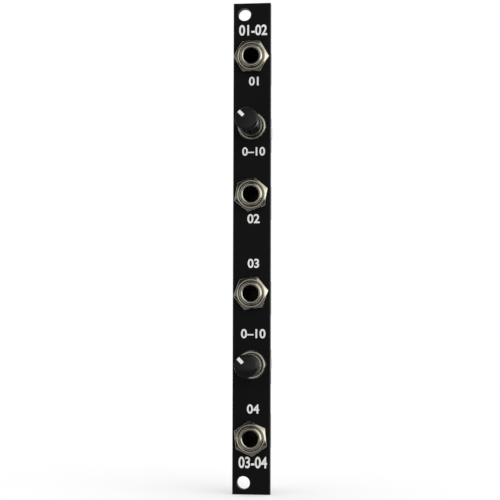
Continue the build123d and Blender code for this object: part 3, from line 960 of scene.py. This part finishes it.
@dataclass
class BoardDetails:
    """What a bare board carries on its back: pads, tracks, plated holes and printed marks."""

    back: float = 11.6
    half_width: float = 3.75
    ends: Span = (-55.99, 55.99)
    pad_radii: Span = (1.2, 0.6)
    pad_height: float = 0.05
    pad_bevel: float = 0.03
    hole_radii: Span = (0.42, 0.18)
    hole_offset: float = 2.6
    hole_heights: tuple[float, ...] = (20.5, 0.5, -19.5)
    pin_drops: Triple = (4.2, -6.2, -2.2)
    terminal_drop: float = -6.75
    terminal_pitch: float = 2.5
    track_width: float = 0.42
    track_height: float = 0.03
    track_step: float = 0.003
    track_levels: int = 6
    track_margin: float = 0.65
    track_corner: float = 1.0
    switch_corner: float = 0.6
    end_drop: float = 0.9
    wiper_drops: Span = (2.0, 5.0)
    sharpest: float = 0.3
    line_width: float = 0.24
    line_height: float = 0.055
    outline_inset: float = 0.25
    bracket_inset: float = 1.6
    socket_reach: Span = (4.0, -6.0)
    control_reach: Span = (4.2, -5.1)
    ear_gap: float = 1.9
    ear_share: float = 0.45
    number_share: float = 0.33
    number_height: float = 1.7
    number_width: float = 3.0
    rule_inset: float = 0.6

    def build(self) -> None:
        """Lay the pads, the tracks, the plated holes and the printed marks."""
        self._pads()
        self._tracks()
        self._marks()

    def _pins(self) -> Outline:
        """Places of all pins.

        Returns:
            Points along X and Z.
        """
        places = [(COLUMN_X, socket.at(drop)) for socket in Socket for drop in self.pin_drops]
        for control in Control:
            for step in (-1, 0, 1):
                places.append((COLUMN_X + step * self.terminal_pitch, control.at(self.terminal_drop)))
        return places

    def _pads(self) -> None:
        """Lay a tinned ring round every pin, and the plated holes between the tracks."""
        sizes = [(place, *self.pad_radii) for place in self._pins()]
        for across in (COLUMN_X - self.hole_offset, COLUMN_X + self.hole_offset):
            sizes += [((across, height), *self.hole_radii) for height in self.hole_heights]
        back, bevel = self.back, self.pad_bevel
        rim = back + self.pad_height
        pads: list[Piece] = []
        for place, outer, inner in sizes:
            outline = [(inner, back), (inner, rim), (outer - bevel, rim), (outer, rim - bevel), (outer, back)]
            pads.append(Bench.move(Bench.lathe("pad", outline, steps=SMALL_STEPS), *place))
        whole = Bench.join(pads, "board_pads")
        Bench.smooth(whole)
        Bench.dress(whole, TINNED_CONTACT)

    def _ribbon(self, name: str, route: Outline, width: float, height: float) -> Piece:
        """A flat line of one width along a route, mitred at its corners.

        Args:
            name: Name of the piece.
            route: Points along X and Z, in millimetres.
            width: Width of the line.
            height: How far it stands up from the board.

        Returns:
            The line.
        """
        points = [Vector(point) for point in route]
        left: Outline = []
        right: Outline = []
        for index, point in enumerate(points):
            before = (point - points[index - 1]).normalized() if index else (points[1] - point).normalized()
            after = (points[index + 1] - point).normalized() if index + 1 < len(points) else before
            along = (before + after).normalized()
            side = Vector((-along.y, along.x)) * width / 2 / max(self.sharpest, along.dot(before))
            left.append(tuple(point + side))
            right.append(tuple(point - side))
        return Bench.plate(name, left + right[::-1], (self.back, self.back + height))

    def _tracks(self) -> None:
        """Lay the tracks: the ground line down one side and the signals from part to part.

        Their heights go up by turns, so that no two share a face where they cross.
        """
        ground_pin, tip_pin, switch_pin = self.pin_drops
        edge = self.half_width - self.track_margin
        ground, lane = COLUMN_X - edge, COLUMN_X + edge
        first, last = COLUMN_X - self.terminal_pitch, COLUMN_X + self.terminal_pitch
        corner, (near, far) = self.track_corner, self.wiper_drops
        routes = [[(ground, socket.at(ground_pin)) for socket in (Socket.LOWER_OUT, Socket.UPPER_IN)]]
        for socket in Socket:
            routes.append([(COLUMN_X, socket.at(ground_pin)), (ground, socket.at(ground_pin))])
        for entry, control, leaving in (
            (Socket.UPPER_IN, Control.UPPER, Socket.UPPER_OUT),
            (Socket.LOWER_IN, Control.LOWER, Socket.LOWER_OUT),
        ):
            row = control.at(self.terminal_drop)
            start, end = entry.at(tip_pin), leaving.at(tip_pin)
            turn_in, turn_out = (lane - corner, start), (lane, start - corner)
            routes.append([(COLUMN_X, start), turn_in, turn_out, (lane, row + corner), (last, row)])
            turn_in, turn_out = (lane, row - far), (lane, end + near)
            routes.append([(COLUMN_X, row), (COLUMN_X, row - near), turn_in, turn_out, (COLUMN_X, end)])
            routes.append([(first, row), (ground, row - self.end_drop)])
            for socket in (entry, leaving):
                height = socket.at(switch_pin)
                turn_in = (ground + self.switch_corner, height)
                routes.append([(COLUMN_X, height), turn_in, (ground, height - self.switch_corner)])
        tracks: list[Piece] = []
        for index, route in enumerate(routes):
            height = self.track_height + index % self.track_levels * self.track_step
            tracks.append(self._ribbon("track", route, self.track_width, height))
        Bench.dress(Bench.join(tracks, "board_tracks"), BOARD_TRACK)

    def _marks(self) -> None:
        """Print the outline and the number of each part, and a rule near both ends."""
        outer, inner = self.half_width - self.outline_inset, self.half_width - self.bracket_inset
        spans = [(*map(socket.at, self.socket_reach), 0.0) for socket in Socket]
        spans += [(*map(control.at, self.control_reach), self.ear_gap) for control in Control]
        routes: list[Outline] = []
        marks: list[Piece] = []
        for number, (start, end, gap) in enumerate(spans, 1):
            middle, centre = (start + (end - start) * share for share in (self.ear_share, self.number_share))
            first = [(inner, start), (outer, start), (outer, middle + gap)]
            second = [(outer, middle - gap), (outer, end), (inner, end)]
            for side in (-1, 1):
                for route in (first, second) if gap else (first[:2] + second[1:],):
                    routes.append([(COLUMN_X + side * across, level) for across, level in route])
            place = (COLUMN_X, self.back, centre)
            size = (self.number_height, self.number_width)
            marks.append(Bench.figure("number", str(number), place, *size, behind=True))
        foot, top = self.ends
        for level in (foot + self.rule_inset, top - self.rule_inset):
            routes.append([(COLUMN_X - inner, level), (COLUMN_X + inner, level)])
        marks += [self._ribbon("mark", route, self.line_width, self.line_height) for route in routes]
        Bench.dress(Bench.join(marks, "board_marks"), PRINT_WHITE)


@dataclass
class ControlCollars:
    """The two plain collars round the knobs, each on its square foot."""

    bore: float = 3.0
    outer: float = 3.6
    front: float = -2.8
    foot_depths: Span = (2.4, 3.2)
    foot_width: float = 8.0
    foot_round: float = 0.1
    crest: float = 3.42
    crest_ease: float = 0.02
    edge_round: float = 0.18
    mouth: float = 0.15

    def build(self) -> None:
        """Model one collar, copy it to the two controls and dress the copies."""
        pattern = self._pattern()
        for control in Control:
            node = f"{control.label}_control_bushing"
            Bench.fit(pattern, f"{control.label}_collar", (control.height, 0.0), NICKEL, node)
        Bench.discard(pattern)

    def _pattern(self) -> Piece:
        """Turn the collar with a rounded front and join the foot to it.

        Returns:
            One collar on the origin's axis.
        """
        back = self.foot_depths[1]
        outline = [
            (self.bore + self.mouth, self.front),
            (self.crest - self.crest_ease, self.front),
            *Bench.quarter((self.crest, self.front), (self.outer, self.front + self.edge_round)),
            (self.outer, back),
            (self.bore, back),
            (self.bore, self.front + self.mouth),
        ]
        ring = Bench.lathe("collar_pattern", outline)
        Bench.add_foot(ring, self.foot_width, self.foot_depths, self.bore, self.foot_round)
        return ring


@dataclass
class Knobs:
    """The two slim knobs, each moulded in one with its shaft, and their white pointer bars."""

    radius: float = 2.95
    face: float = -14.4
    edge: float = 0.45
    edge_ease: float = 0.05
    ease_share: float = 0.3
    shaft_end: float = 4.0
    key_radius: float = 1.8
    key_end: float = 6.15
    key_flat: float = 1.2
    key_room: float = 4.0
    pointer_inner: float = 1.1
    pointer_outer: float = 2.85
    pointer_width: float = 0.87
    pointer_depth: float = 0.5
    pointer_corner: float = 0.16
    corner_steps: int = 4

    def build(self) -> None:
        """Model one knob and its pointer, copy them to the two controls and dress the copies."""
        knob = self._blank()
        cutter = self._pointer_tool()
        pointer = Bench.copy(cutter, "pointer_pattern")
        Bench.combine(pointer, knob, "INTERSECT", keep_tool=True)
        Bench.combine(knob, cutter, "DIFFERENCE")
        Bench.smooth(knob)
        Bench.smooth(pointer)
        for control in Control:
            label, body = control.label, f"{control.label}_level"
            place = (control.height, control.turn)
            Bench.fit(knob, f"{label}_turned_knob", place, KNOB_PLASTIC, f"{label}_knob", body)
            Bench.fit(pointer, f"{label}_pointer_bar", place, POINTER_WHITE, f"{label}_knob_pointer", body)
        Bench.discard(knob)
        Bench.discard(pointer)

    def _blank(self) -> Piece:
        """Turn the knob with its shaft and file the flat of the key.

        Returns:
            The knob without the groove of its pointer.
        """
        face, radius, edge, ease = self.face, self.radius, self.edge, self.edge_ease
        inset = ease * self.ease_share
        outline = [
            (0, face),
            (radius - edge - ease, face),
            (radius - edge, face + inset),
            (radius - inset, face + edge - inset),
            (radius, face + edge + ease),
            (radius, self.shaft_end),
            (self.key_radius, self.shaft_end),
            (self.key_radius, self.key_end),
            (0, self.key_end),
        ]
        knob = Bench.lathe("knob_pattern", outline, closed=False)
        depths = (self.shaft_end, self.key_end + OVERRUN)
        room = self.key_room
        flat = Bench.block("key_flat", (-room, room), depths, (-room, -self.key_flat))
        Bench.combine(knob, flat, "DIFFERENCE")
        return knob

    def _pointer_tool(self) -> Piece:
        """The bar whose rounded outline the groove and the pointer share.

        Returns:
            The bar, reaching out of the knob's face.
        """
        half = self.pointer_width / 2
        depths = (self.face - OVERRUN, self.face + self.pointer_depth)
        tool = Bench.block("pointer_tool", (-half, half), depths, (self.pointer_inner, self.pointer_outer))
        Bench.pick(tool)
        bpy.ops.object.mode_set(mode="EDIT")
        bpy.ops.mesh.select_mode(type="EDGE")
        bpy.ops.mesh.select_all(action="DESELECT")
        bpy.ops.object.mode_set(mode="OBJECT")
        for edge in tool.data.edges:
            start, end = (tool.data.vertices[index].co for index in edge.vertices)
            edge.select = abs(start.y - end.y) > self.pointer_depth * MM
        bpy.ops.object.mode_set(mode="EDIT")
        bpy.ops.mesh.bevel(offset=self.pointer_corner * MM, segments=self.corner_steps)
        Bench.close_mesh()
        return tool


@dataclass
class PanelPrint:
    """The white figures printed on the panel: name, text, middle along X and Z, and height of each."""

    front: float = -2.0
    widest: float = 7.4
    rows: tuple[tuple[str, str, float, float, float], ...] = (
        ("upper_pair", "01-02", 2.3, 57.02, 2.85),
        ("upper_in", "01", 2.5, 43.42, 2.32),
        ("upper_scale", "0–10", 2.5, 24.82, 2.25),
        ("upper_out", "02", 2.5, 7.13, 2.42),
        ("lower_in", "03", 2.5, -4.56, 2.35),
        ("lower_scale", "0–10", 2.5, -22.83, 2.4),
        ("lower_out", "04", 2.5, -42.28, 2.4),
        ("lower_pair", "03-04", 2.45, -56.0, 2.95),
    )

    def build(self) -> None:
        """Print every figure on the panel."""
        for name, text, across, middle, height in self.rows:
            place = (across, self.front, middle)
            Bench.dress(Bench.figure(f"{name}_figure", text, place, height, self.widest), PRINT_WHITE)


@dataclass(frozen=True)
class Change:
    """A smooth change of level with one part of a direction: the part, its span and the two levels."""

    part: str
    span: Span
    levels: Span


@dataclass
class Studio:
    """Pale floor, white surroundings, a dim room in front and one soft light from above.

    Metal mirrors the white that lies behind the module, and a dim room and table in front of it. The
    room is as bright as its sides and its low part together, and dimmer at its top and at the ground.
    """

    floor_height: float = -64.25
    floor_size: float = 6000.0
    floor_colour: float = 0.8
    floor_glow: float = 0.24
    ambient: float = 0.88
    sides: Change = Change("X", (-0.55, 0.6), (0.12, 0.8))
    heights: Change = Change("Z", (-0.12, 0.2), (0.14, 0.0))
    top: Change = Change("Z", (0.2, 0.6), (1.0, 0.14))
    ground: Change = Change("Z", (-0.18, -0.09), (0.04, 1.0))
    backdrop: Change = Change("Y", (-0.1, 0.2), (0.0, 1.0))
    table: Change = Change("Z", (-0.6, -0.3), (0.12, 0.0))
    sun_level: float = 0.75
    sun_width: float = 74.0
    sun_from: Triple = (0.74, -0.52, 0.38)

    def build(self) -> None:
        """Lay the floor, set the world and hang the light."""
        self._lay_floor()
        self._set_world()
        self._hang_light()
        bpy.context.scene.view_settings.view_transform = "Standard"

    def _lay_floor(self) -> None:
        """Lay the pale floor under the module's foot, with a glow for the camera that makes it white."""
        place = (0, 0, self.floor_height * MM)
        floor = Bench.add(bpy.ops.mesh.primitive_plane_add, size=self.floor_size * MM, location=place)
        Bench.settle(floor, "floor")
        floor.visible_glossy = False
        material = bpy.data.materials.new("pale_floor")
        nodes = Wiring(material)
        material.cycles.emission_sampling = "NONE"
        grey = self.floor_colour
        matt = nodes.add("BsdfDiffuse", {"Color": (grey, grey, grey, 1)}).outputs["BSDF"]
        rays = nodes.add("LightPath").outputs
        seen = nodes.reckon("ADD", rays["Is Camera Ray"], rays["Is Transmission Ray"], clamp=True)
        strength = nodes.reckon("MULTIPLY", seen, self.floor_glow)
        glow = nodes.add("Emission", {"Strength": strength}).outputs["Emission"]
        both = nodes.add("AddShader", {0: matt, 1: glow}).outputs["Shader"]
        nodes.add("OutputMaterial", {"Surface": both})
        floor.data.materials.append(material)

    def _set_world(self) -> None:
        """White surroundings behind the module, and a room in front that is dim on its left."""
        world = bpy.data.worlds.new("surroundings")
        bpy.context.scene.world = world
        nodes = Wiring(world)
        world.cycles.sampling_method = "NONE"
        rays = nodes.add("LightPath").outputs
        direction = nodes.add("TexCoord").outputs["Generated"]
        part = nodes.add("SeparateXYZ", {"Vector": direction}).outputs
        sides, heights, top, ground, backdrop, table = (
            nodes.slope(part[change.part], change.span, change.levels, "SMOOTHSTEP")
            for change in (self.sides, self.heights, self.top, self.ground, self.backdrop, self.table)
        )
        room = nodes.reckon("MULTIPLY", nodes.reckon("ADD", sides, heights), top)
        room = nodes.reckon("MULTIPLY", room, ground)
        brighter = nodes.reckon("MAXIMUM", nodes.reckon("MAXIMUM", room, backdrop), table)
        mirrored = nodes.reckon("ADD", rays["Is Glossy Ray"], rays["Is Transmission Ray"], clamp=True)
        level = nodes.blend(mirrored, self.ambient, brighter, "FLOAT")
        shown = nodes.blend(rays["Is Camera Ray"], level, 1.0, "FLOAT")
        background = nodes.add("Background", {"Color": (1, 1, 1, 1), "Strength": shown})
        nodes.add("OutputWorld", {"Surface": background.outputs["Background"]})

    def _hang_light(self) -> None:
        """Hang the wide soft light above the module, to its right and before it."""
        light = Bench.add(bpy.ops.object.light_add, type="SUN", location=self.sun_from)
        light.name = "soft_light"
        light.data.energy = self.sun_level
        light.data.angle = math.radians(self.sun_width)
        light.rotation_euler = (-Vector(self.sun_from)).to_track_quat("-Z", "Y").to_euler()


@dataclass
class PhotoCamera:
    """The camera of the photograph: place and reach in millimetres, angles in degrees."""

    place: Triple = (38.72, -323.33, -21.2)
    yaw: float = -6.589
    pitch: float = 3.562
    roll: float = 0.137
    focal_pixels: float = 1242.6
    image_pixels: float = 500.0
    sensor: float = 36.0
    nearest: float = 10.0
    farthest: float = 20000.0

    def build(self) -> None:
        """Set the camera up and make it the scene's."""
        yaw, pitch, roll = (math.radians(angle) for angle in (self.yaw, self.pitch, self.roll))
        forward = Vector((math.sin(yaw) * math.cos(pitch), math.cos(yaw) * math.cos(pitch), math.sin(pitch)))
        right = forward.cross(Vector((0, 0, 1))).normalized()
        upward = right.cross(forward)
        level_right = right * math.cos(roll) + upward * math.sin(roll)
        level_up = upward * math.cos(roll) - right * math.sin(roll)
        turn = Matrix((level_right, level_up, -forward)).transposed()
        camera = Bench.add(bpy.ops.object.camera_add)
        camera.name = "photo_camera"
        camera.matrix_world = Matrix.Translation(Vector(self.place) * MM) @ turn.to_4x4()
        camera.data.sensor_width = self.sensor
        camera.data.lens = self.sensor * self.focal_pixels / self.image_pixels
        camera.data.clip_start = self.nearest * MM
        camera.data.clip_end = self.farthest * MM
        bpy.context.scene.camera = camera


def dress_nodes(frame: dict) -> None:
    """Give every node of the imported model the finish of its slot.
    """
    for row in frame["record"]["subparts"]:
        node = frame["nodes"][row["node"]]
        node.data.materials.clear()
        node.data.materials.append(FINISHES[row["material_slot"]].material())
    LOG.info("%d nodes dressed", len(frame["nodes"]))


def main() -> None:
    """Build the look of the module."""
    logging.basicConfig(level=logging.INFO, format="%(name)s: %(message)s")
    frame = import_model()
    dress_nodes(frame)
    SocketNuts().build()
    SocketBushings().build()
    SocketHousings().build()
    ControlCollars().build()
    Knobs().build()
    BoardDetails().build()
    PanelPrint().build()
    Studio().build()
    PhotoCamera().build()
    Bench.clear()


if __name__ == "__main__":
    main()
